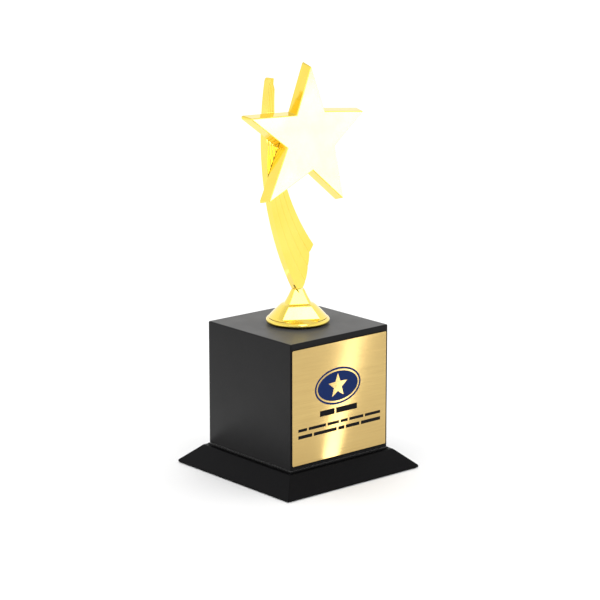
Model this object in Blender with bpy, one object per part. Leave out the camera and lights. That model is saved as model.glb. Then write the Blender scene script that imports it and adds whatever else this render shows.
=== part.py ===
"""Star trophy: a cast star on a fluted comet tail and a flared foot, bolted to a mitred box base.

Frame: origin on the floor under the middle of the base, +Z up, the name plate faces -Y, and left means -X.
"""
import math

import bmesh
import bpy
from mathutils import Matrix, Vector

MM = 0.001
GAP = 0.3 * MM              # clearance between touching pieces
SMOOTH_ANGLE = math.radians(30.0)

# Felt pad and plinth board
PLINTH_SIDE = 101.6 * MM
PLINTH_FLOOR_CLEARANCE = 0.4 * MM
PLINTH_RIM_TOP = 1.8 * MM
PLINTH_TOP = 11.6 * MM
PLINTH_TOP_SIDE = 80.0 * MM
PLINTH_EDGE_BEVEL = 0.35 * MM
FELT_THICKNESS = 1.0 * MM
FELT_INSET = 3.0 * MM       # from the plinth's outer edge to the recess that holds the felt

# Spacer sheet between the plinth and the box
SPACER_SIDE = 75.8 * MM
SPACER_THICKNESS = 0.8 * MM
SPACER_GAP = 0.25 * MM

# Box of mitred panels
BOX_SIDE = 74.6 * MM
BOX_HEIGHT = 74.6 * MM
PANEL_THICKNESS = 6.0 * MM
BOX_BOTTOM = PLINTH_TOP + SPACER_THICKNESS + 2.0 * SPACER_GAP
BOX_TOP = BOX_BOTTOM + BOX_HEIGHT
MITRE_SETBACK = GAP / math.sqrt(2.0)    # along the face, so that two mitred faces stand a GAP apart
GLUE_BLOCK_SIDE = 9.0 * MM

# Wood screws that hold the plinth to the box
BASE_SCREW_PITCH = 44.0 * MM
BASE_SCREW_LENGTH = 15.8 * MM
BASE_SCREW_HEAD_RADIUS = 3.4 * MM
BASE_SCREW_HEAD_DEPTH = 2.2 * MM
BASE_SCREW_RADIUS = 1.75 * MM
BASE_SCREW_TIP = 3.0 * MM

# Name plate and its tape
PLATE_WIDTH = 72.0 * MM
PLATE_HEIGHT = 68.4 * MM
PLATE_BOTTOM = 15.4 * MM
PLATE_LEFT_OF_CENTRE = 0.6 * MM
PLATE_THICKNESS = 0.35 * MM
PLATE_CORNER = 0.4 * MM
TAPE_THICKNESS = 0.15 * MM
TAPE_INSET = 2.0 * MM
PLATE_GAP = 0.2 * MM

# Bolt, washer and the figure's foot
BOLT_RADIUS = 3.9 * MM
BOLT_HEAD_ACROSS_FLATS = 13.0 * MM
BOLT_HEAD_HEIGHT = 5.3 * MM
BOLT_REACH = 5.0 * MM       # how far the bolt goes into the foot
WASHER_RADIUS = 8.0 * MM
WASHER_THICKNESS = 1.6 * MM
FOOT_BOTTOM = BOX_TOP + GAP
FOOT_BORE_RADIUS = 4.2 * MM
FOOT_BORE_DEPTH = 9.3 * MM
FOOT_BEAD_RADIUS = 1.7 * MM
FOOT_BEAD_CENTRE = 17.2 * MM            # from the foot's axis to the middle of the beaded rim
FOOT_FLAT_DIRECTION = math.radians(239.0)   # the foot is turned, so that its front flat faces front left
FOOT_FLAT_STEPS = 10        # steps across each flat
FOOT_ROUND_STEPS = 20       # steps round each side between the flats
FOOT_PLAIN_HALF_ANGLE = math.radians(40.0)  # share of a plain round ring that lies under each flat
# Skirt, shoulder and neck: height above the foot's underside, radius, and distance from the axis to the flats
FOOT_FLATTED_RINGS = (
    (3.5 * MM, 17.2 * MM, 14.3 * MM),
    (4.5 * MM, 16.7 * MM, 12.5 * MM),
    (7.6 * MM, 13.8 * MM, 10.3 * MM),
    (10.9 * MM, 10.4 * MM, 7.8 * MM),
    (11.5 * MM, 9.4 * MM, 7.1 * MM),
    (12.0 * MM, 8.0 * MM, 5.4 * MM),
    (16.2 * MM, 5.7 * MM, 4.1 * MM),
    (20.4 * MM, 3.7 * MM, 2.9 * MM),
)
FOOT_GROOVE = (3.05 * MM, 16.4 * MM)    # height and radius of the groove inside the bead
NECK_TOP = FOOT_BOTTOM + FOOT_FLATTED_RINGS[-1][0]

# Screw from the foot into the tail
TAIL_SCREW_RADIUS = 1.5 * MM
TAIL_SCREW_HEAD_RADIUS = 2.75 * MM
TAIL_SCREW_HEAD_HEIGHT = 3.0 * MM
TAIL_SCREW_SOCKET = 2.5 * MM            # across the flats of its hexagon socket
TAIL_SCREW_SOCKET_DEPTH = 1.5 * MM
TAIL_SCREW_REACH = 6.4 * MM             # how far it goes into the tail

# Comet tail: both side edges are arcs in the XZ plane, and four flutes fan out between them
TAIL_THICKNESS = 5.0 * MM
TAIL_LEFT_RADIUS = 190.0 * MM
TAIL_LEFT_CENTRE = (164.1 * MM, 198.9 * MM)
TAIL_RIGHT_RADIUS = 138.2 * MM
TAIL_RIGHT_CENTRE = (118.7 * MM, 218.8 * MM)
TAIL_FLUTES = 4
FLUTE_DEPTH = 0.4 * MM
FLUTE_SHARPNESS = 7.0       # how flat the crown of a flute is before it turns down into the valley
FLUTE_STEPS = (0.0, 0.05, 0.13, 0.28, 0.5, 0.72, 0.87, 0.95)
TAIL_ROWS = 26
TAIL_BOTTOM = NECK_TOP + GAP
# The tail's two ends: share of the way from the left edge to the right edge, and height
TAIL_TOP_END = (
    (0.0, 231.7 * MM), (0.1, 233.2 * MM), (0.3, 233.9 * MM), (0.6, 233.9 * MM),
    (0.73, 233.2 * MM), (0.77, 228.3 * MM), (0.93, 228.1 * MM), (1.0, 227.1 * MM),
)
TAIL_LOWER_END = (
    (0.0, TAIL_BOTTOM), (0.12, TAIL_BOTTOM), (0.25, 112.4 * MM),
    (0.5, 121.2 * MM), (0.75, 129.2 * MM), (1.0, 133.5 * MM),
)

# Star: radius and angle of each point and notch, turning clockwise from the top point, seen from the front
STAR_OUTLINE = (
    (43.1, 87.6), (20.0, 51.6),
    (44.6, 16.6), (21.0, -14.6),
    (46.5, -54.2), (18.1, -79.3),
    (44.3, -132.2), (16.1, -169.7),
    (46.2, 158.6), (17.8, 119.5),
)
STAR_CENTRE = Vector((0.0, 0.0, 196.9 * MM))
STAR_THICKNESS = 6.8 * MM
STAR_DRAFT = 1.15 * MM      # how much each side wall leans out towards the back
STAR_CHAMFER = 0.4 * MM
STAR_POINT_RADIUS = 0.4 * MM
STAR_BACK_POINT_RADIUS = 1.09 * MM
STAR_BACK = -TAIL_THICKNESS / 2.0 - GAP

# Countersunk screws from the back of the tail into the star
STAR_SCREW_PLACES = {
    "star_screw_upper": (-22.3 * MM, 206.0 * MM),
    "star_screw_lower": (-18.4 * MM, 174.9 * MM),
}
STAR_SCREW_RADIUS = 1.25 * MM
STAR_SCREW_HEAD_RADIUS = 2.2 * MM
STAR_SCREW_HEAD_DEPTH = 1.3 * MM
STAR_SCREW_LENGTH = 9.5 * MM
SCREW_SEGMENTS = 24


def clear_scene():
    for obj in list(bpy.data.objects):
        bpy.data.objects.remove(obj, do_unlink=True)


def make_material(name, colour, roughness, metallic):
    material = bpy.data.materials.new(name)
    material.use_nodes = True
    shader = material.node_tree.nodes["Principled BSDF"]
    shader.inputs["Base Color"].default_value = (*colour, 1.0)
    shader.inputs["Roughness"].default_value = roughness
    shader.inputs["Metallic"].default_value = metallic
    return material


def make_materials():
    return {
        "gold": make_material("polished_gold_plating", (0.95, 0.70, 0.22), 0.16, 1.0),
        "plate": make_material("brushed_gold_sheet", (0.86, 0.68, 0.34), 0.32, 1.0),
        "lacquer": make_material("black_satin_lacquer", (0.016, 0.015, 0.016), 0.38, 0.0),
        "board": make_material("bare_fibreboard", (0.42, 0.29, 0.17), 0.85, 0.0),
        "steel": make_material("zinc_plated_steel", (0.62, 0.63, 0.66), 0.30, 1.0),
        "felt": make_material("black_felt", (0.02, 0.02, 0.022), 0.95, 0.0),
        "tape": make_material("white_foam_tape", (0.80, 0.80, 0.78), 0.70, 0.0),
    }


def object_from_bmesh(name, bm, material):
    """Turn a bmesh into a named object with outward faces, smooth where it is round."""
    bmesh.ops.recalc_face_normals(bm, faces=bm.faces)
    mesh = bpy.data.meshes.new(name)
    bm.to_mesh(mesh)
    bm.free()
    mesh.shade_smooth()
    mesh.set_sharp_from_angle(angle=SMOOTH_ANGLE)
    if material is not None:
        mesh.materials.append(material)
    obj = bpy.data.objects.new(name, mesh)
    bpy.context.scene.collection.objects.link(obj)
    return obj


def loft(name, rings, material, joined_ends=False):
    """Skin a list of equally long rings; the ends are capped, or joined to each other."""
    bm = bmesh.new()
    loops = [[bm.verts.new(point) for point in ring] for ring in rings]
    pairs = list(zip(loops, loops[1:]))
    if joined_ends:
        pairs.append((loops[-1], loops[0]))
    for lower, upper in pairs:
        for i in range(len(lower)):
            j = (i + 1) % len(lower)
            bm.faces.new((lower[i], lower[j], upper[j], upper[i]))
    if not joined_ends:
        bm.faces.new(loops[0])
        bm.faces.new(loops[-1])
    return object_from_bmesh(name, bm, material)


def square_ring(side, height):
    half = side / 2.0
    return [Vector((x, y, height)) for x, y in ((-half, -half), (half, -half), (half, half), (-half, half))]


def round_ring(radius, height, segments, corners=0):
    """A ring round +Z: a circle, or a regular polygon with a corner on +X."""
    points = []
    for i in range(segments):
        angle = 2.0 * math.pi * i / segments
        reach = radius
        if corners:
            side = 2.0 * math.pi / corners
            from_corner = angle % side
            reach = radius * math.cos(side / 2.0) / math.cos(from_corner - side / 2.0)
        points.append(Vector((reach * math.cos(angle), reach * math.sin(angle), height)))
    return points


def turned(name, profile, material, segments=SCREW_SEGMENTS):
    """A solid of (radius, height) rings, listed from one flat end to the other."""
    return loft(name, [round_ring(radius, height, segments) for radius, height in profile], material)


def turned_ring(name, profile, material, segments=SCREW_SEGMENTS):
    """A solid whose (radius, height) profile closes on itself round a hole."""
    rings = [round_ring(radius, height, segments) for radius, height in profile]
    return loft(name, rings, material, joined_ends=True)


def block(name, low, high, material):
    ring = ((low[0], low[1]), (high[0], low[1]), (high[0], high[1]), (low[0], high[1]))
    rings = [[Vector((x, y, z)) for x, y in ring] for z in (low[2], high[2])]
    return loft(name, rings, material)


def bevel(obj, width, segments=2):
    modifier = obj.modifiers.new("edge_bevel", "BEVEL")
    modifier.width = width
    modifier.segments = segments
    modifier.limit_method = "ANGLE"
    modifier.angle_limit = SMOOTH_ANGLE


def as_cutter(obj):
    obj.hide_render = True
    obj.display_type = "WIRE"
    return obj


def cut(obj, cutter):
    modifier = obj.modifiers.new("cut_" + cutter.name, "BOOLEAN")
    modifier.operation = "DIFFERENCE"
    modifier.solver = "EXACT"
    modifier.object = as_cutter(cutter)


def merged(name, pieces):
    """Join separate cutters into one object."""
    bm = bmesh.new()
    for piece in pieces:
        piece.data.transform(piece.matrix_basis)
        bm.from_mesh(piece.data)
        bpy.data.objects.remove(piece, do_unlink=True)
    return object_from_bmesh(name, bm, None)


def place(obj, location, rotation=None):
    matrix = Matrix.Translation(location)
    if rotation is not None:
        matrix = matrix @ rotation
    obj.matrix_basis = matrix
    return obj


def corner_places(pitch):
    """The four corners of a square, named as seen from the front."""
    half = pitch / 2.0
    return {"front_left": (-half, -half), "front_right": (half, -half),
            "rear_left": (-half, half), "rear_right": (half, half)}


def make_felt_pad(materials):
    side = PLINTH_SIDE - 2.0 * FELT_INSET - 2.0 * GAP
    loft("felt_pad", [square_ring(side, 0.0), square_ring(side, FELT_THICKNESS)], materials["felt"])


def base_screw_hole(name, place_xy):
    """Cutter for one countersunk clearance hole, from the felt's recess up into the box's bottom."""
    recess = FELT_THICKNESS + GAP
    cone_end = recess + GAP + BASE_SCREW_HEAD_DEPTH + GAP
    shank = BASE_SCREW_RADIUS + GAP
    profile = (
        (BASE_SCREW_HEAD_RADIUS + 2.0 * GAP, recess - GAP),
        (BASE_SCREW_HEAD_RADIUS + 2.0 * GAP, recess + GAP / 2.0),
        (shank, cone_end),
        (shank, recess + GAP + BASE_SCREW_LENGTH + 2.0 * GAP),
    )
    return place(turned(name, profile, None), (*place_xy, 0.0))


def make_base_screw_holes():
    holes = [base_screw_hole("hole_" + corner, xy) for corner, xy in corner_places(BASE_SCREW_PITCH).items()]
    return as_cutter(merged("base_screw_holes", holes))


def make_plinth_board(materials, screw_holes):
    recess_side = PLINTH_SIDE - 2.0 * FELT_INSET
    rings = [
        square_ring(recess_side, FELT_THICKNESS + GAP),
        square_ring(recess_side, PLINTH_FLOOR_CLEARANCE),
        square_ring(PLINTH_SIDE, PLINTH_FLOOR_CLEARANCE),
        square_ring(PLINTH_SIDE, PLINTH_RIM_TOP),
        square_ring(PLINTH_TOP_SIDE, PLINTH_TOP),
    ]
    plinth = loft("plinth_board", rings, materials["lacquer"])
    bevel(plinth, PLINTH_EDGE_BEVEL)
    cut(plinth, screw_holes)


def make_spacer_sheet(materials, screw_holes):
    bottom = PLINTH_TOP + SPACER_GAP
    rings = [square_ring(SPACER_SIDE, bottom), square_ring(SPACER_SIDE, bottom + SPACER_THICKNESS)]
    spacer = loft("spacer_sheet", rings, materials["lacquer"])
    cut(spacer, screw_holes)


def make_box_walls(materials):
    """Four wall panels, mitred to each other and to the top panel."""
    outer = BOX_SIDE / 2.0
    inner = outer - PANEL_THICKNESS
    turns = {"box_front_panel": 0, "box_right_panel": 1, "box_rear_panel": 2, "box_left_panel": 3}
    for name, quarter in turns.items():
        rings = []
        for depth in (outer, inner):
            half = depth - MITRE_SETBACK
            top = BOX_TOP - (outer - depth) - MITRE_SETBACK
            corners = ((-half, BOX_BOTTOM), (half, BOX_BOTTOM), (half, top), (-half, top))
            rings.append([Vector((x, -depth, z)) for x, z in corners])
        wall = loft(name, rings, materials["lacquer"])
        wall.data.transform(Matrix.Rotation(quarter * math.pi / 2.0, 4, "Z"))


def make_box_top(materials):
    upper = BOX_SIDE - 2.0 * MITRE_SETBACK
    lower = upper - 2.0 * PANEL_THICKNESS
    rings = [square_ring(lower, BOX_TOP - PANEL_THICKNESS), square_ring(upper, BOX_TOP)]
    top = loft("box_top_panel", rings, materials["lacquer"])
    radius = BOLT_RADIUS + GAP
    hole = ((radius, BOX_TOP - PANEL_THICKNESS - GAP), (radius, BOX_TOP + GAP))
    cut(top, turned("foot_bolt_hole", hole, None))


def make_box_bottom(materials, screw_holes):
    side = BOX_SIDE - 2.0 * PANEL_THICKNESS - 2.0 * GAP
    rings = [square_ring(side, BOX_BOTTOM), square_ring(side, BOX_BOTTOM + PANEL_THICKNESS)]
    bottom = loft("box_bottom_panel", rings, materials["board"])
    cut(bottom, screw_holes)


def make_glue_blocks(materials):
    """Square blocks that stiffen the box's inner corners, from the bottom panel to the top panel."""
    low = BOX_BOTTOM + PANEL_THICKNESS + GAP
    high = BOX_TOP - PANEL_THICKNESS - GAP
    half = GLUE_BLOCK_SIDE / 2.0
    pitch = BOX_SIDE - 2.0 * PANEL_THICKNESS - 2.0 * GAP - GLUE_BLOCK_SIDE
    for corner, (x, y) in corner_places(pitch).items():
        lowest = (x - half, y - half, low)
        highest = (x + half, y + half, high)
        block("glue_block_" + corner, lowest, highest, materials["board"])


def cross_recess(name, width, depth, at, rotation=None):
    """Cutter for a cross-shaped driver recess that opens at -Z."""
    long_half = width / 2.0
    short_half = width / 6.0
    outline = []
    for quarter in range(4):
        turn = Matrix.Rotation(quarter * math.pi / 2.0, 3, "Z")
        for x, y in ((long_half, -short_half), (long_half, short_half), (short_half, short_half)):
            outline.append(turn @ Vector((x, y, 0.0)))
    rings = [[point + Vector((0.0, 0.0, z)) for point in outline] for z in (-GAP, depth)]
    return place(loft(name, rings, None), at, rotation)


def countersunk_screw(name, head_radius, head_depth, radius, length, tip, material):
    """A countersunk screw along +Z with its flat head at the origin."""
    land = head_depth / 8.0
    profile = ((head_radius, 0.0), (head_radius, land), (radius, head_depth),
               (radius, length - tip), (radius * 0.35, length))
    return turned(name, profile, material)


def make_base_screws(materials):
    head = FELT_THICKNESS + 2.0 * GAP
    for corner, (x, y) in corner_places(BASE_SCREW_PITCH).items():
        screw = countersunk_screw("base_screw_" + corner, BASE_SCREW_HEAD_RADIUS, BASE_SCREW_HEAD_DEPTH,
                                  BASE_SCREW_RADIUS, BASE_SCREW_LENGTH, BASE_SCREW_TIP, materials["steel"])
        place(screw, (x, y, head))
        cut(screw, cross_recess("recess_" + corner, BASE_SCREW_HEAD_RADIUS, 1.2 * MM, (x, y, head)))


def make_name_plate(materials):
    """The plate and its tape, on the front face of the box."""
    tape_front = BOX_SIDE / 2.0 + PLATE_GAP + TAPE_THICKNESS
    plate_back = tape_front + PLATE_GAP
    left = -PLATE_WIDTH / 2.0 - PLATE_LEFT_OF_CENTRE
    right = left + PLATE_WIDTH
    bottom = PLATE_BOTTOM
    top = bottom + PLATE_HEIGHT
    block("plate_tape", (left + TAPE_INSET, -tape_front, bottom + TAPE_INSET),
          (right - TAPE_INSET, TAPE_THICKNESS - tape_front, top - TAPE_INSET), materials["tape"])
    corner = PLATE_CORNER
    outline = ((left + corner, bottom), (right - corner, bottom), (right, bottom + corner),
               (right, top - corner), (right - corner, top), (left + corner, top),
               (left, top - corner), (left, bottom + corner))
    depths = (plate_back, plate_back + PLATE_THICKNESS)
    rings = [[Vector((x, -depth, z)) for x, z in outline] for depth in depths]
    loft("name_plate", rings, materials["plate"])


def make_foot_bolt(materials):
    """Hexagon bolt up through the top panel into the foot, with its washer."""
    washer_top = BOX_TOP - PANEL_THICKNESS - GAP
    washer_bottom = washer_top - WASHER_THICKNESS
    hole = BOLT_RADIUS + GAP
    turned_ring("foot_bolt_washer", ((hole, washer_bottom), (WASHER_RADIUS, washer_bottom),
                                     (WASHER_RADIUS, washer_top), (hole, washer_top)), materials["steel"])
    head_top = washer_bottom - GAP
    head_bottom = head_top - BOLT_HEAD_HEIGHT
    corner = BOLT_HEAD_ACROSS_FLATS / 2.0 / math.cos(math.pi / 6.0)
    head_chamfer = 0.6 * MM
    tip = FOOT_BOTTOM + BOLT_REACH
    rings = [
        round_ring(corner - head_chamfer, head_bottom, SCREW_SEGMENTS, 6),
        round_ring(corner, head_bottom + head_chamfer, SCREW_SEGMENTS, 6),
        round_ring(corner, head_top, SCREW_SEGMENTS, 6),
        round_ring(BOLT_RADIUS, head_top, SCREW_SEGMENTS),
        round_ring(BOLT_RADIUS, tip - head_chamfer, SCREW_SEGMENTS),
        round_ring(BOLT_RADIUS - head_chamfer, tip, SCREW_SEGMENTS),
    ]
    loft("foot_bolt", rings, materials["steel"])


def foot_ring(radius, flat, height):
    """A ring with a flat at the front and at the back; without a flat distance it is plainly round."""
    half_angle = math.acos(flat / radius) if flat else FOOT_PLAIN_HALF_ANGLE
    points = []
    for side in (0.0, math.pi):
        for i in range(FOOT_FLAT_STEPS):
            turn = half_angle * (2.0 * i / FOOT_FLAT_STEPS - 1.0)
            reach = flat / math.cos(turn) if flat else radius
            points.append((reach, side + turn))
        for i in range(FOOT_ROUND_STEPS):
            turn = half_angle + (math.pi - 2.0 * half_angle) * i / FOOT_ROUND_STEPS
            points.append((radius, side + turn))
    angles = [(reach, FOOT_FLAT_DIRECTION + angle) for reach, angle in points]
    return [Vector((reach * math.cos(angle), reach * math.sin(angle), height)) for reach, angle in angles]


def make_figure_foot(materials):
    """Beaded rim, skirt, shoulder and neck with two flats, and a stepped bore."""
    bead_height = FOOT_BOTTOM + FOOT_BEAD_RADIUS
    circles = []
    for degrees in (-90, -62, -34, -6, 22, 50, 78):
        angle = math.radians(degrees)
        radius = FOOT_BEAD_CENTRE + FOOT_BEAD_RADIUS * math.cos(angle)
        circles.append((radius, bead_height + FOOT_BEAD_RADIUS * math.sin(angle)))
    circles.append((FOOT_GROOVE[1], FOOT_BOTTOM + FOOT_GROOVE[0]))
    narrow = TAIL_SCREW_RADIUS + GAP
    ledge = FOOT_BOTTOM + FOOT_BORE_DEPTH
    bore = ((narrow, NECK_TOP), (narrow, ledge), (FOOT_BORE_RADIUS, ledge), (FOOT_BORE_RADIUS, FOOT_BOTTOM))
    rings = [foot_ring(radius, None, height) for radius, height in circles]
    rings += [foot_ring(radius, flat, FOOT_BOTTOM + height) for height, radius, flat in FOOT_FLATTED_RINGS]
    rings += [foot_ring(radius, None, height) for radius, height in bore]
    loft("figure_foot", rings, materials["gold"], joined_ends=True)


def make_tail_screw(materials):
    """Socket-head screw whose head sits under the ledge of the foot's bore."""
    head_top = FOOT_BOTTOM + FOOT_BORE_DEPTH - GAP
    head_bottom = head_top - TAIL_SCREW_HEAD_HEIGHT
    tip = TAIL_BOTTOM + TAIL_SCREW_REACH
    end_radius = TAIL_SCREW_RADIUS * 0.7
    profile = ((TAIL_SCREW_HEAD_RADIUS, head_bottom), (TAIL_SCREW_HEAD_RADIUS, head_top),
               (TAIL_SCREW_RADIUS, head_top), (TAIL_SCREW_RADIUS, tip - end_radius), (end_radius, tip))
    screw = turned("tail_screw", profile, materials["steel"])
    corner = TAIL_SCREW_SOCKET / 2.0 / math.cos(math.pi / 6.0)
    socket = ((corner, head_bottom - GAP), (corner, head_bottom + TAIL_SCREW_SOCKET_DEPTH))
    cut(screw, turned("tail_screw_socket", socket, None, segments=6))


def arc_x(centre, radius, height):
    """X of a circle's left side at a height."""
    return centre[0] - math.sqrt(radius ** 2 - (height - centre[1]) ** 2)


def along(points, share):
    """Height at a share of the tail's width, on a line through (share, height) points."""
    for (share_a, height_a), (share_b, height_b) in zip(points, points[1:]):
        if share <= share_b:
            return height_a + (height_b - height_a) * (share - share_a) / (share_b - share_a)
    return points[-1][1]


def flute_relief(flute, step):
    """How far the surface lies below the crown at a step across one flute; the outer edges stay full."""
    from_crown = abs(2.0 * step - 1.0)
    outer_left = flute == 0 and step < 0.5
    outer_right = flute == TAIL_FLUTES - 1 and step > 0.5
    depth = FLUTE_DEPTH * (0.3 if outer_left or outer_right else 1.0)
    return depth * from_crown ** FLUTE_SHARPNESS


def tail_columns():
    """(share of the width, relief) of each line of points down the tail."""
    columns = []
    for flute in range(TAIL_FLUTES):
        for step in FLUTE_STEPS:
            columns.append(((flute + step) / TAIL_FLUTES, flute_relief(flute, step)))
    columns.append((1.0, flute_relief(TAIL_FLUTES - 1, 1.0)))
    return columns


def make_comet_tail(materials):
    """A plate between two arcs, fluted on both faces, from its rounded top to its stepped lower end."""
    columns = tail_columns()
    rings = []
    for row in range(TAIL_ROWS + 1):
        fall = row / TAIL_ROWS
        front = []
        back = []
        for share, relief in columns:
            top = along(TAIL_TOP_END, share)
            low = along(TAIL_LOWER_END, share)
            z = top + (low - top) * fall
            left = arc_x(TAIL_LEFT_CENTRE, TAIL_LEFT_RADIUS, z)
            right = arc_x(TAIL_RIGHT_CENTRE, TAIL_RIGHT_RADIUS, z)
            x = left + (right - left) * share
            front.append(Vector((x, relief - TAIL_THICKNESS / 2.0, z)))
            back.append(Vector((x, TAIL_THICKNESS / 2.0 - relief, z)))
        rings.append(front + back[::-1])
    tail = loft("comet_tail", rings, materials["gold"])
    radius = TAIL_SCREW_RADIUS + GAP
    bore = ((radius, TAIL_BOTTOM - GAP), (radius, TAIL_BOTTOM + TAIL_SCREW_REACH + GAP))
    cut(tail, turned("tail_screw_bore", bore, None))
    return tail


def offset_outline(points, distance):
    """Move every side of a clockwise outline outwards by a distance."""
    moved = []
    for before, here, after in zip(points[-1:] + points[:-1], points, points[1:] + points[:1]):
        side_in = (here - before).normalized()
        side_out = (after - here).normalized()
        normal_in = Vector((-side_in.y, side_in.x))
        normal_out = Vector((-side_out.y, side_out.x))
        bisector = (normal_in + normal_out).normalized()
        moved.append(here + bisector * distance / bisector.dot(normal_in))
    return moved


def rounded_points(outline, radius):
    """Replace each point of the star by three on a small arc; the notches stay sharp."""
    result = []
    count = len(outline)
    for i, here in enumerate(outline):
        if i % 2:
            result.append(here)
            continue
        to_before = (outline[i - 1] - here).normalized()
        to_after = (outline[(i + 1) % count] - here).normalized()
        half_angle = to_before.angle(to_after) / 2.0
        inward = (to_before + to_after).normalized()
        centre = here + inward * radius / math.sin(half_angle)
        setback = radius / math.tan(half_angle)
        result.extend((here + to_before * setback, centre - inward * radius, here + to_after * setback))
    return result


def make_star(materials):
    """Drafted side walls, a chamfer round the front face, and blunt points."""
    outline = [Vector((math.cos(math.radians(angle)), math.sin(math.radians(angle)))) * radius * MM
               for radius, angle in STAR_OUTLINE]
    levels = (
        (STAR_DRAFT, STAR_BACK, STAR_BACK_POINT_RADIUS),
        (0.0, STAR_BACK - STAR_THICKNESS + STAR_CHAMFER, STAR_POINT_RADIUS),
        (-STAR_CHAMFER, STAR_BACK - STAR_THICKNESS, STAR_POINT_RADIUS),
    )
    rings = []
    for offset, depth, point_radius in levels:
        level = rounded_points(offset_outline(outline, offset), point_radius)
        rings.append([Vector((p.x, depth, p.y)) + STAR_CENTRE for p in level])
    return loft("star", rings, materials["gold"])


def make_star_screws(materials, tail, star):
    """Two screws from the tail's back; each bores the tail and a blind hole in the star."""
    face = TAIL_THICKNESS / 2.0
    towards_star = Matrix.Rotation(math.pi / 2.0, 4, "X")
    for name, (x, z) in STAR_SCREW_PLACES.items():
        at = (x, face - GAP, z)
        screw = countersunk_screw(name, STAR_SCREW_HEAD_RADIUS, STAR_SCREW_HEAD_DEPTH, STAR_SCREW_RADIUS,
                                  STAR_SCREW_LENGTH, STAR_SCREW_RADIUS, materials["steel"])
        place(screw, at, towards_star)
        cut(screw, cross_recess(name + "_recess", STAR_SCREW_HEAD_RADIUS, 0.9 * MM, at, towards_star))
        shank = STAR_SCREW_RADIUS + GAP
        head = STAR_SCREW_HEAD_RADIUS + GAP
        hole_profile = ((head, -2.0 * GAP), (head, GAP), (shank, STAR_SCREW_HEAD_DEPTH + GAP),
                        (shank, STAR_SCREW_LENGTH + GAP))
        hole = place(turned(name + "_hole", hole_profile, None), at, towards_star)
        cut(tail, hole)
        cut(star, hole)


def main():
    clear_scene()
    materials = make_materials()
    screw_holes = make_base_screw_holes()
    make_felt_pad(materials)
    make_plinth_board(materials, screw_holes)
    make_spacer_sheet(materials, screw_holes)
    make_box_walls(materials)
    make_box_top(materials)
    make_box_bottom(materials, screw_holes)
    make_glue_blocks(materials)
    make_base_screws(materials)
    make_name_plate(materials)
    make_foot_bolt(materials)
    make_figure_foot(materials)
    make_tail_screw(materials)
    tail = make_comet_tail(materials)
    star = make_star(materials)
    make_star_screws(materials, tail, star)


main()
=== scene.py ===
"""Looks of the star trophy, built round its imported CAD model. Lengths are in metres."""

import math

import bmesh
import bpy
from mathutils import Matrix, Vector


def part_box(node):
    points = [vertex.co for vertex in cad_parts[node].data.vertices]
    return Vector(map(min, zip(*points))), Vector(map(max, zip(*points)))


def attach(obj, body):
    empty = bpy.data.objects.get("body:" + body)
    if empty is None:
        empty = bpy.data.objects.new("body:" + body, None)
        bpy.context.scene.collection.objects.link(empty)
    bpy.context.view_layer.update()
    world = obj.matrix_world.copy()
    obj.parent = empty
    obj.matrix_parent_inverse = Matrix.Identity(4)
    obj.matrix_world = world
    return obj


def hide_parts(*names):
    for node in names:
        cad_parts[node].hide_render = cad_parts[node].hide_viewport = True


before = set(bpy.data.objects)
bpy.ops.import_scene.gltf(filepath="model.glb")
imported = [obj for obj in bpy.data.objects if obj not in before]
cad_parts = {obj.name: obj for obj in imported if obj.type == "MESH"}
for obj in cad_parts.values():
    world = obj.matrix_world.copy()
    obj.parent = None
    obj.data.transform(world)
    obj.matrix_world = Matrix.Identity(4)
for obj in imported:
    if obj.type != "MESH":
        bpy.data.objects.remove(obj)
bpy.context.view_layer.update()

MM = 0.001

# Camera: an orbit round the trophy's middle
CAMERA_AZIMUTH = math.radians(-40.684)
CAMERA_ELEVATION = math.radians(13.51)
CAMERA_DISTANCE = 1348.0 * MM
CAMERA_AIM_HEIGHT = 101.106 * MM
CAMERA_AIM_RIGHT = 1.276 * MM
CAMERA_LENS = 138.08
CAMERA_SENSOR = 36.0

# Even light from overhead
CEILING_IRRADIANCE = 1.4
CEILING_SPREAD = 110.0          # degrees

# Softboxes and the star's card: position, aim, two sides, and the radiance that a mirror would show
SOFTBOXES = {
    "low_softbox": ((-0.41, -1.04, 0.52), (0.0, 0.0, 0.10), (0.34, 0.34), 3.5),
    "high_softbox": ((-0.20, -0.75, 1.20), (0.0, 0.0, 0.09), (0.5, 0.4), 4.5),
    "left_softbox": ((-1.25, -0.88, 1.02), (0.0, 0.0, 0.19), (1.1, 0.9), 0.8),
}
STAR_CARD = ((0.26, -0.305, 0.105), (0.0, 0.0, 0.197), (0.30, 0.16), 5.5)

# Strip on the floor that gives the plate its bright band, and the card that lights the figure from below
STRIP_NEAR = (0.020, -0.070, 0.001)
STRIP_FAR = (0.268, -0.320, 0.001)
STRIP_WIDTH = 0.009
STRIP_RADIANCE = 3.4
UNDER_CARD_LIFT = 1.0 * MM
UNDER_CARD_RADIANCE = 1.0

# Surroundings: the walls turn into the ceiling by height, and the room dims towards the camera's side
WALL_COLOUR = (1.0, 1.0, 1.0)
CEILING_COLOUR = (0.80, 0.80, 0.80)
CEILING_FROM, CEILING_FULL = 0.60, 0.72         # sine of the elevation
ROOM_STRENGTH, DIM_STRENGTH = 1.08, 0.50
DIM_FROM, DIM_FULL = 0.66, 0.95                 # about the cosine of the angle from the camera's side
CAMERA_SIDE_RISE = 0.15
FLOOR_HALF = 8.0
FLOOR_COLOURS = ((0.86, 0.86, 0.86), (0.88, 0.88, 0.88))

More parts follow.
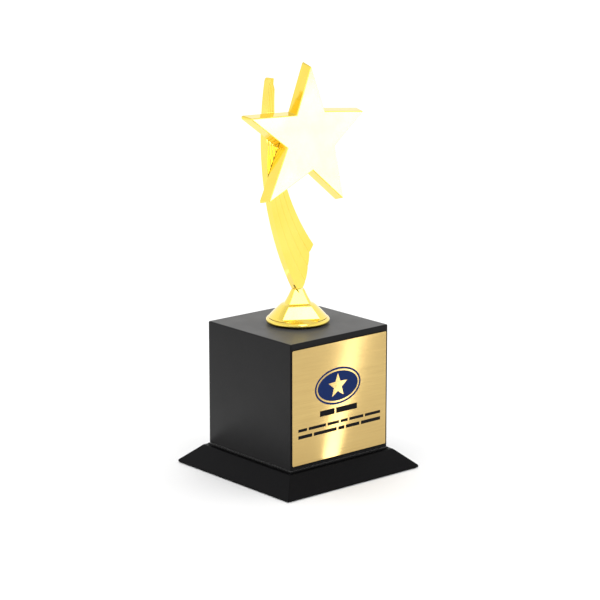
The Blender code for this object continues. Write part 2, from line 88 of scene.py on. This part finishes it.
# Finishes: the darkest and the lightest linear colour of each
GOLD_COLOURS = ((0.95, 0.71, 0.095), (0.98, 0.76, 0.13))
PLATE_COLOURS = ((0.50, 0.345, 0.115), (0.63, 0.455, 0.165))
PLATE_STAIN = (0.50, 0.33, 0.11, 1.0)
LACQUER_COLOURS = ((0.0015, 0.0015, 0.0018), (0.006, 0.0057, 0.0065))
BOARD_COLOURS = ((0.30, 0.19, 0.10), (0.48, 0.33, 0.19))
STEEL_COLOURS = ((0.46, 0.47, 0.50), (0.66, 0.67, 0.70))
FELT_COLOURS = ((0.006, 0.006, 0.007), (0.040, 0.040, 0.044))
TAPE_COLOURS = ((0.62, 0.62, 0.59), (0.82, 0.82, 0.80))
ENAMEL_COLOURS = ((0.004, 0.016, 0.085), (0.007, 0.026, 0.130))
INK_COLOURS = ((0.001, 0.001, 0.002), (0.006, 0.006, 0.008))
ROUGHNESS_MARGIN = 0.07         # how far a grain moves the roughness either way
PRINT_SPECULAR = 0.08

# Rounding of the castings and the plinth; angles are in degrees
WELD_DISTANCE = 0.002 * MM
FLAT_ANGLE = 0.2                # faces that meet at less than this are joined before the rounding
HARD_ANGLE = 24.0               # edges sharper than this are rounded
SMOOTH_ANGLE = 40.0             # edges sharper than this stay sharp in the shading
SHELL_SMOOTH_ANGLE = 50.0
CRISP_SMOOTH_ANGLE = 30.0
STAR_ROUNDING = 0.16 * MM
STAR_ROUNDED_FROM = 5.0 * MM    # how far in front of the star's back an edge has to reach to be rounded
CASTING_ROUNDING = 0.2 * MM
PLINTH_ROUNDING = 0.2 * MM

# Lacquered box
PANELS = ("box_front_panel", "box_rear_panel", "box_left_panel", "box_right_panel", "box_top_panel")
SHELL_THICKNESS = 6.0 * MM
SHELL_EDGE_RADIUS = 0.7 * MM
SHELL_EDGE_STEPS = 5
SHELL_SUPPORT = 0.1 * MM        # a narrow band of faces that keeps the flat sides flat beside each round edge
SHELL_OVERSIZE = 0.1 * MM       # how far it stands out past the panels
SHELL_FOOT_BEVEL = 0.15 * MM
SHELL_SMALLEST_CORNER = 0.05 * MM
BOLT_HOLE_RADIUS = 4.2 * MM

# Toe of the tail: height over the neck's top, left edge, width, how far it stands proud of the tail,
# and depth
TOE_RINGS = (
    (3.0 * MM, -4.75 * MM, 0.9 * MM, -0.15 * MM, 0.9 * MM),
    (1.2 * MM, -3.85 * MM, 1.1 * MM, 0.25 * MM, 1.1 * MM),
    (-0.5 * MM, -2.75 * MM, 0.9 * MM, 0.55 * MM, 1.0 * MM),
    (-2.1 * MM, -1.75 * MM, 0.25 * MM, 0.85 * MM, 0.5 * MM),
)
TOE_NOSE_SHARE = 0.3            # where across the width the toe comes furthest forward
TOE_SLOPE = 0.1 * MM

# Print on the plate
PRINT_THICKNESS = 0.03 * MM
EMBLEM_CENTRE = Vector((-2.3 * MM, 57.6 * MM))
EMBLEM_STEPS = 120
RING_OUTER = (17.6 * MM, 11.0 * MM)
RING_INNER = (16.4 * MM, 9.8 * MM)
BADGE_OUTER = (15.4 * MM, 8.8 * MM)
BADGE_STAR_RADIUS = 7.6 * MM
BADGE_STAR_NOTCH = 0.42         # inner corners, as a share of the radius
BADGE_STAR_CORNERS = 10         # tips and notches together
NAME_BAR = (-16.0 * MM, 12.6 * MM, 43.0 * MM, 3.4 * MM)     # left, right, middle height, bar height
LINE_BARS = ((-32.4 * MM, 31.0 * MM, 35.9 * MM, 1.7 * MM), (-32.4 * MM, 31.0 * MM, 31.9 * MM, 2.0 * MM))
NAME_SHARES = (9, 13)
UPPER_SHARES = (6, 12, 8, 5, 10, 11)
LOWER_SHARES = (9, 15, 4, 9, 13)
BAR_SPACE = 1.3 * MM


def new_material(name):
    material = bpy.data.materials.new(name)
    material.use_nodes = True
    tree = material.node_tree
    return material, tree, tree.nodes["Principled BSDF"]


def feed(tree, target, inputs):
    """Give each of a node's inputs a value, or the socket that feeds it."""
    for key, value in inputs.items():
        if isinstance(value, bpy.types.NodeSocket):
            tree.links.new(value, target.inputs[key])
        else:
            target.inputs[key].default_value = value


def node(tree, kind, inputs=None, **settings):
    """Add a node with its properties set, then feed its inputs."""
    made = tree.nodes.new(kind)
    for key, value in settings.items():
        setattr(made, key, value)
    feed(tree, made, inputs or {})
    return made


def noise(tree, scale, detail=3.0, stretch=(1.0, 1.0, 1.0)):
    """Fractal noise in object space; stretch scales each axis before the noise does."""
    coords = node(tree, "ShaderNodeTexCoord")
    mapping = node(tree, "ShaderNodeMapping", {"Vector": coords.outputs["Object"], "Scale": stretch})
    return node(tree, "ShaderNodeTexNoise",
                {"Vector": mapping.outputs["Vector"], "Scale": scale, "Detail": detail}).outputs["Fac"]


def cells(tree, scale):
    """Distance to the nearest of many scattered points in object space."""
    coords = node(tree, "ShaderNodeTexCoord")
    return node(tree, "ShaderNodeTexVoronoi", {"Vector": coords.outputs["Object"], "Scale": scale},
                feature="F1").outputs["Distance"]


def spread(tree, value, low, high, from_low=0.3, from_high=0.7):
    """Map a value from one range to another."""
    return node(tree, "ShaderNodeMapRange", {"Value": value, "From Min": from_low, "From Max": from_high,
                                             "To Min": low, "To Max": high}).outputs["Result"]


def two_tone(tree, value, dark, light, low=0.3, high=0.7):
    """A colour that runs from dark to light as the value runs from low to high."""
    ramp = node(tree, "ShaderNodeValToRGB", {"Fac": value})
    ramp.color_ramp.elements[0].position = low
    ramp.color_ramp.elements[0].color = (*dark, 1.0)
    ramp.color_ramp.elements[1].position = high
    ramp.color_ramp.elements[1].color = (*light, 1.0)
    return ramp.outputs["Color"]


def bump(tree, height, distance, strength=1.0, under=None):
    """Fine relief, laid over another relief where one is given."""
    inputs = {"Height": height, "Distance": distance, "Strength": strength}
    if under is not None:
        inputs["Normal"] = under
    return node(tree, "ShaderNodeBump", inputs).outputs["Normal"]


def gold_material():
    """Polished gold plating over a casting: a faint cast waviness, fine polishing marks, a clear coat."""
    material, tree, shader = new_material("polished_gold")
    marks = noise(tree, 700.0, 5.0, (1.0, 1.0, 6.0))
    waviness = bump(tree, noise(tree, 130.0, 2.0), 0.05 * MM, 0.6)
    feed(tree, shader, {
        "Base Color": two_tone(tree, noise(tree, 55.0), *GOLD_COLOURS),
        "Metallic": 1.0,
        "Roughness": spread(tree, marks, 0.09, 0.17),
        "Normal": bump(tree, marks, 0.004 * MM, 0.5, waviness),
        "Coat Weight": 0.6,
        "Coat Roughness": 0.06,
    })
    return material


def plate_material():
    """Gold-coloured sheet brushed along X, with faint stains."""
    material, tree, shader = new_material("brushed_gold_sheet")
    streaks = noise(tree, 1.0, 6.0, (45.0, 45.0, 7000.0))
    stains = noise(tree, 28.0, 3.0)
    base = node(tree, "ShaderNodeMix", {"Factor": spread(tree, stains, 0.0, 0.35)}, data_type="RGBA")
    tree.links.new(two_tone(tree, streaks, *PLATE_COLOURS), base.inputs["A"])
    base.inputs["B"].default_value = PLATE_STAIN
    feed(tree, shader, {
        "Base Color": base.outputs["Result"],
        "Metallic": 1.0,
        "Roughness": spread(tree, streaks, 0.09, 0.14),
        "Normal": bump(tree, streaks, 0.012 * MM, 0.35),
        "Coat Weight": 0.5,
        "Coat Roughness": 0.12,
        "Anisotropic": 0.3,
        "Anisotropic Rotation": 0.25,
        "Tangent": node(tree, "ShaderNodeTangent", direction_type="RADIAL", axis="Z").outputs["Tangent"],
    })
    return material


def lacquer_material(name, specular, sheen):
    """Black satin lacquer with a fine speckle and a soft orange peel; sheen stands for a little dust."""
    material, tree, shader = new_material(name)
    speckle = noise(tree, 2600.0, 2.0)
    peel = bump(tree, noise(tree, 420.0, 2.0), 0.02 * MM, 0.5)
    feed(tree, shader, {
        "Base Color": two_tone(tree, speckle, *LACQUER_COLOURS, low=0.35, high=0.75),
        "Roughness": spread(tree, noise(tree, 70.0, 4.0), 0.36, 0.43),
        "Normal": bump(tree, speckle, 0.010 * MM, 0.6, peel),
        "Specular IOR Level": specular,
        "Sheen Weight": sheen,
        "Sheen Roughness": 0.35,
    })
    return material


def grained_material(name, colours, roughness, metallic, depth, grain, specular=0.5):
    """One material made of a single grain: its colour, roughness and relief."""
    material, tree, shader = new_material(name)
    value = grain(tree)
    feed(tree, shader, {
        "Base Color": two_tone(tree, value, *colours),
        "Metallic": metallic,
        "Roughness": spread(tree, value, roughness - ROUGHNESS_MARGIN, roughness + ROUGHNESS_MARGIN),
        "Normal": bump(tree, value, depth),
        "Specular IOR Level": specular,
    })
    return material


def print_grain(tree):
    return noise(tree, 1800.0, 4.0)


def make_materials():
    return {
        "gold": gold_material(),
        "plate": plate_material(),
        "lacquer": lacquer_material("black_satin_lacquer", specular=0.12, sheen=0.40),
        "plinth": lacquer_material("black_plinth_lacquer", specular=0.06, sheen=0.0),
        "board": grained_material(
            "bare_fibreboard", BOARD_COLOURS, roughness=0.85, metallic=0.0, depth=0.1 * MM,
            grain=lambda tree: noise(tree, 1500.0, 6.0, (1.0, 1.0, 4.0))),
        "steel": grained_material(
            "zinc_plated_steel", STEEL_COLOURS, roughness=0.28, metallic=1.0, depth=0.01 * MM,
            grain=lambda tree: noise(tree, 900.0, 5.0)),
        "felt": grained_material(
            "black_felt", FELT_COLOURS, roughness=0.92, metallic=0.0, depth=0.3 * MM,
            grain=lambda tree: noise(tree, 2600.0, 7.0)),
        "tape": grained_material(
            "foam_tape", TAPE_COLOURS, roughness=0.72, metallic=0.0, depth=0.1 * MM,
            grain=lambda tree: cells(tree, 3000.0)),
        "enamel": grained_material(
            "navy_print", ENAMEL_COLOURS, roughness=0.40, metallic=0.0, depth=0.004 * MM,
            grain=print_grain, specular=PRINT_SPECULAR),
        "ink": grained_material(
            "black_print", INK_COLOURS, roughness=0.45, metallic=0.0, depth=0.004 * MM,
            grain=print_grain, specular=PRINT_SPECULAR),
    }


def dress(obj, material):
    obj.data.materials.clear()
    obj.data.materials.append(material)


def dress_nodes(materials):
    """Every CAD node that stays in view takes the detailed material of its finish."""
    finish_of = {"felt_pad": "felt", "plate_tape": "tape", "name_plate": "plate", "figure_foot": "gold",
                 "comet_tail": "gold", "star": "gold", "box_bottom_panel": "board"}
    for name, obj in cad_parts.items():
        finish = finish_of.get(name, "lacquer")
        if name.startswith("glue_block"):
            finish = "board"
        elif "screw" in name or "bolt" in name:
            finish = "steel"
        elif name.startswith("plinth"):
            finish = "plinth"
        dress(obj, materials[finish])


def finish_piece(name, bm, material, smooth_angle=SMOOTH_ANGLE, weighted=True):
    """Turn a bmesh into a piece of the trophy."""
    bmesh.ops.recalc_face_normals(bm, faces=bm.faces)
    mesh = bpy.data.meshes.new(name)
    bm.to_mesh(mesh)
    bm.free()
    mesh.shade_smooth()
    mesh.set_sharp_from_angle(angle=math.radians(smooth_angle))
    mesh.materials.append(material)
    obj = bpy.data.objects.new(name, mesh)
    bpy.context.scene.collection.objects.link(obj)
    if weighted:
        modifier = obj.modifiers.new("flat_sides", "WEIGHTED_NORMAL")
        modifier.keep_sharp = True
    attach(obj, "root")
    return obj


def loft(rings, closed=False):
    """Skin equally long rings; the ends are capped, or joined to each other."""
    bm = bmesh.new()
    loops = [[bm.verts.new(point) for point in ring] for ring in rings]
    pairs = list(zip(loops, loops[1:]))
    if closed:
        pairs.append((loops[-1], loops[0]))
    for lower, upper in pairs:
        for i in range(len(lower)):
            j = (i + 1) % len(lower)
            bm.faces.new((lower[i], lower[j], upper[j], upper[i]))
    if not closed:
        bm.faces.new(loops[0])
        bm.faces.new(loops[-1])
    return bm


def refined(node_name, name, material, width, steps=3, keep=None, flat_angle=FLAT_ANGLE):
    """A copy of a CAD node with its hard edges rounded, shown in the node's place."""
    bm = bmesh.new()
    bm.from_mesh(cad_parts[node_name].data)
    bmesh.ops.remove_doubles(bm, verts=bm.verts, dist=WELD_DISTANCE)
    if flat_angle:
        bmesh.ops.dissolve_limit(bm, angle_limit=math.radians(flat_angle), verts=bm.verts, edges=bm.edges)
    sharp = math.radians(HARD_ANGLE)
    hard = [edge for edge in bm.edges if edge.is_manifold and edge.calc_face_angle() > sharp]
    if keep is not None:
        hard = [edge for edge in hard if keep(edge)]
    bmesh.ops.bevel(bm, geom=hard, offset=width, offset_type="OFFSET", segments=steps, profile=0.5,
                    affect="EDGES", clamp_overlap=True)
    obj = finish_piece(name, bm, material)
    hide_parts(node_name)
    return obj


def rounded_square(half, radius, height):
    """A square ring with round corners, and a support point just before and after each of them."""
    ring = []
    for quarter in range(4):
        angle = quarter * math.pi / 2.0
        along = Vector((math.cos(angle), math.sin(angle)))
        across = Vector((-along.y, along.x))
        centre = (along + across) * (half - radius)
        ring.append(centre + along * radius - across * SHELL_SUPPORT)
        for step in range(SHELL_EDGE_STEPS + 1):
            turn = math.pi / 2.0 * step / SHELL_EDGE_STEPS
            ring.append(centre + (along * math.cos(turn) + across * math.sin(turn)) * radius)
        ring.append(centre + across * radius - along * SHELL_SUPPORT)
    return [Vector((point.x, point.y, height)) for point in ring]


def round_like(ring, radius, height):
    """A circle whose points lie in the same directions as a ring's."""
    lift = Vector((0.0, 0.0, height))
    return [Vector((point.x, point.y, 0.0)).normalized() * radius + lift for point in ring]


def make_box_shell(materials):
    """The lacquered outside that hides the panels' mitres, with their inside faces and the bolt hole."""
    corners = [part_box(panel) for panel in PANELS]
    half = max(high.x for low, high in corners) + SHELL_OVERSIZE
    bottom = min(low.z for low, high in corners)
    top = max(high.z for low, high in corners)
    radius = SHELL_EDGE_RADIUS
    inner = half - SHELL_THICKNESS
    rings = [
        rounded_square(inner, radius, bottom),
        rounded_square(half - SHELL_FOOT_BEVEL, radius, bottom),
        rounded_square(half, radius, bottom + SHELL_FOOT_BEVEL),
        rounded_square(half, radius, top - radius - SHELL_SUPPORT),
    ]
    for step in range(SHELL_EDGE_STEPS + 1):
        turn = math.pi / 2.0 * step / SHELL_EDGE_STEPS
        inset = radius * (1.0 - math.cos(turn))
        corner = max(radius - inset, SHELL_SMALLEST_CORNER)
        rings.append(rounded_square(half - inset, corner, top - radius + radius * math.sin(turn)))
    rings.append(rounded_square(half - radius - SHELL_SUPPORT, SHELL_SMALLEST_CORNER, top))
    rings.append(round_like(rings[-1], BOLT_HOLE_RADIUS, top))
    rings.append(round_like(rings[-1], BOLT_HOLE_RADIUS, top - SHELL_THICKNESS))
    rings.append(rounded_square(inner, radius, top - SHELL_THICKNESS))
    shell = finish_piece("box_shell", loft(rings, closed=True), materials["lacquer"],
                         SHELL_SMOOTH_ANGLE, False)
    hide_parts(*PANELS)


def print_on_plate(name, outlines, material):
    """Thin printed areas on the plate; each is an (outer, inner or None) pair of closed (x, z) outlines."""
    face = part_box("name_plate")[0].y
    raised = face - PRINT_THICKNESS
    joined = bmesh.new()
    for outer, inner in outlines:
        if inner is None:
            order = ((outer, face), (outer, raised))
        else:
            order = ((outer, face), (outer, raised), (inner, raised), (inner, face))
        rings = [[Vector((x, depth, z)) for x, z in outline] for outline, depth in order]
        bm = loft(rings, closed=inner is not None)
        part = bpy.data.meshes.new("part")
        bm.to_mesh(part)
        bm.free()
        joined.from_mesh(part)
        bpy.data.meshes.remove(part)
    return finish_piece(name, joined, material, CRISP_SMOOTH_ANGLE, False)


def oval(half_axes):
    """An outline round the emblem's centre."""
    wide, tall = half_axes
    turns = [2.0 * math.pi * i / EMBLEM_STEPS for i in range(EMBLEM_STEPS)]
    return [(EMBLEM_CENTRE.x + wide * math.cos(turn), EMBLEM_CENTRE.y + tall * math.sin(turn))
            for turn in turns]


def star_in_badge():
    """A plain five-pointed star round the emblem's centre, with a point at the top."""
    corners = []
    for i in range(BADGE_STAR_CORNERS + 1):
        tip = math.pi / 2.0 + 2.0 * math.pi * i / BADGE_STAR_CORNERS
        reach = BADGE_STAR_RADIUS * (BADGE_STAR_NOTCH if i % 2 else 1.0)
        corners.append(Vector((reach * math.cos(tip), reach * math.sin(tip))))
    per_side = EMBLEM_STEPS // BADGE_STAR_CORNERS
    points = []
    for start, end in zip(corners, corners[1:]):
        for i in range(per_side):
            points.append(EMBLEM_CENTRE + start.lerp(end, i / per_side))
    return [(point.x, point.y) for point in points]


def bars(line, shares):
    """A ruled line broken into plain blocks whose widths follow the shares."""
    left, right, middle, height = line
    ink = right - left - BAR_SPACE * (len(shares) - 1)
    outlines = []
    x = left
    for share in shares:
        width = ink * share / sum(shares)
        low, high = middle - height / 2.0, middle + height / 2.0
        outlines.append((((x, low), (x + width, low), (x + width, high), (x, high)), None))
        x += width + BAR_SPACE
    return outlines


def make_print(materials):
    """The emblem and the bars; the badge's outline starts at the top, where its star's does."""
    quarter = EMBLEM_STEPS // 4
    badge = oval(BADGE_OUTER)
    badge = badge[quarter:] + badge[:quarter]
    emblem = [(oval(RING_OUTER), oval(RING_INNER)), (badge, star_in_badge())]
    lines = bars(LINE_BARS[0], UPPER_SHARES) + bars(LINE_BARS[1], LOWER_SHARES)
    print_on_plate("emblem", emblem, materials["enamel"])
    print_on_plate("name_bars", bars(NAME_BAR, NAME_SHARES), materials["ink"])
    print_on_plate("line_bars", lines, materials["ink"])


def make_castings(materials):
    """The gold pieces; the star's back edges stay as they are, and the tail's fine flutes aren't joined."""
    gold = materials["gold"]
    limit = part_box("star")[1].y - STAR_ROUNDED_FROM
    star = refined("star", "star_casting", gold, STAR_ROUNDING,
                   keep=lambda edge: any(vert.co.y < limit for vert in edge.verts))
    tail = refined("comet_tail", "tail_casting", gold, CASTING_ROUNDING, 2, flat_angle=0.0)
    refined("figure_foot", "foot_casting", gold, CASTING_ROUNDING, 2)
    return star, tail


def make_toe(materials):
    """The pointed end of the tail's left front edge, which reaches a little way down over the neck."""
    neck_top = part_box("figure_foot")[1].z
    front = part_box("comet_tail")[0].y
    rings = []
    for height, left, width, lift, depth in TOE_RINGS:
        near = front - lift
        corners = ((left, near + depth), (left + TOE_NOSE_SHARE * width, near),
                   (left + width, near + TOE_SLOPE), (left + width, near + depth))
        rings.append([Vector((x, y, neck_top + height)) for x, y in corners])
    finish_piece("tail_toe", loft(rings), materials["gold"], CRISP_SMOOTH_ANGLE, False)


def make_plinth(materials):
    refined("plinth_board", "plinth_lacquered", materials["plinth"], PLINTH_ROUNDING, 2)


def make_floor():
    mesh = bpy.data.meshes.new("studio_floor")
    half = FLOOR_HALF
    mesh.from_pydata([(-half, -half, 0.0), (half, -half, 0.0), (half, half, 0.0), (-half, half, 0.0)], [],
                     [(0, 1, 2, 3)])
    floor = bpy.data.objects.new("studio_floor", mesh)
    bpy.context.scene.collection.objects.link(floor)
    material, tree, shader = new_material("studio_floor")
    feed(tree, shader, {
        "Base Color": two_tone(tree, noise(tree, 3.0), *FLOOR_COLOURS),
        "Roughness": 0.9,
        "Specular IOR Level": 0.1,
    })
    mesh.materials.append(material)


def area_light(name, position, aim, size, radiance, diffuse=True):
    """A soft rectangular light that the camera doesn't see; radiance is what a mirror would show."""
    data = bpy.data.lights.new(name, "AREA")
    data.shape = "RECTANGLE"
    data.size, data.size_y = size
    data.energy = radiance * math.pi * size[0] * size[1]
    light = bpy.data.objects.new(name, data)
    bpy.context.scene.collection.objects.link(light)
    light.location = position
    light.rotation_euler = (Vector(aim) - Vector(position)).to_track_quat("-Z", "Y").to_euler()
    light.visible_camera = False
    light.visible_diffuse = diffuse
    return light


def make_world():
    """White walls, a slightly dimmer ceiling, and a dim side behind the camera."""
    world = bpy.data.worlds.new("studio")
    bpy.context.scene.world = world
    world.use_nodes = True
    tree = world.node_tree
    direction = node(tree, "ShaderNodeTexCoord").outputs["Generated"]
    height = node(tree, "ShaderNodeSeparateXYZ", {"Vector": direction}).outputs["Z"]
    walls = two_tone(tree, height, WALL_COLOUR, CEILING_COLOUR, CEILING_FROM, CEILING_FULL)
    camera_side = (math.sin(CAMERA_AZIMUTH), -math.cos(CAMERA_AZIMUTH), CAMERA_SIDE_RISE)
    towards = node(tree, "ShaderNodeVectorMath", {0: direction, 1: camera_side}, operation="DOT_PRODUCT")
    strength = spread(tree, towards.outputs["Value"], ROOM_STRENGTH, DIM_STRENGTH, DIM_FROM, DIM_FULL)
    feed(tree, tree.nodes["Background"], {"Color": walls, "Strength": strength})


def make_camera():
    data = bpy.data.cameras.new("camera")
    camera = bpy.data.objects.new("camera", data)
    bpy.context.scene.collection.objects.link(camera)
    data.sensor_width = CAMERA_SENSOR
    data.lens = CAMERA_LENS
    a, e = CAMERA_AZIMUTH, CAMERA_ELEVATION
    back = Vector((math.sin(a) * math.cos(e), -math.cos(a) * math.cos(e), math.sin(e)))
    aim = Vector((0.0, 0.0, CAMERA_AIM_HEIGHT)) + Vector((math.cos(a), math.sin(a), 0.0)) * CAMERA_AIM_RIGHT
    camera.location = aim + back * CAMERA_DISTANCE
    camera.rotation_euler = back.to_track_quat("Z", "Y").to_euler()
    bpy.context.scene.camera = camera


def shine_only_on(light, *pieces):
    """A reflector card: it shows in the pieces named and in nothing else."""
    group = bpy.data.collections.new("lit_by_" + light.name)
    for piece in pieces:
        group.objects.link(piece)
    light.light_linking.receiver_collection = group
    light.visible_diffuse = False


def make_ceiling_fill():
    """Even light from overhead that doesn't show in shiny surfaces."""
    sun = bpy.data.lights.new("ceiling_fill", "SUN")
    sun.energy = CEILING_IRRADIANCE
    sun.angle = math.radians(CEILING_SPREAD)
    ceiling = bpy.data.objects.new("ceiling_fill", sun)
    bpy.context.scene.collection.objects.link(ceiling)
    ceiling.visible_glossy = False


def make_plate_strip():
    """A narrow strip lying on the floor in front of the plate and facing up."""
    near, far = Vector(STRIP_NEAR), Vector(STRIP_FAR)
    middle = (near + far) / 2.0
    sides = ((far - near).length, STRIP_WIDTH)
    strip = area_light("plate_strip", middle, middle + Vector((0.0, 0.0, 1.0)), sides, STRIP_RADIANCE)
    strip.rotation_euler = (math.pi, 0.0, math.atan2(far.y - near.y, far.x - near.x))
    shine_only_on(strip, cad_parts["name_plate"])


def make_under_card(star, tail):
    """A card of the box top's size that lies just over it and faces up."""
    low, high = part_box("box_top_panel")
    sides = (high.x - low.x, high.y - low.y)
    place = (0.0, 0.0, high.z + UNDER_CARD_LIFT)
    card = area_light("under_card", place, (0.0, 0.0, 1.0), sides, UNDER_CARD_RADIANCE)
    shine_only_on(card, star, tail)


def make_lights(star, tail):
    make_ceiling_fill()
    for name, (position, aim, size, radiance) in SOFTBOXES.items():
        area_light(name, position, aim, size, radiance, diffuse=False)
    shine_only_on(area_light("star_card", *STAR_CARD), star)
    make_plate_strip()
    make_under_card(star, tail)


materials = make_materials()
make_camera()
dress_nodes(materials)
make_box_shell(materials)
make_plinth(materials)
make_print(materials)
make_toe(materials)
star, tail = make_castings(materials)
make_world()
make_floor()
make_lights(star, tail)
bpy.context.scene.view_settings.view_transform = "Standard"
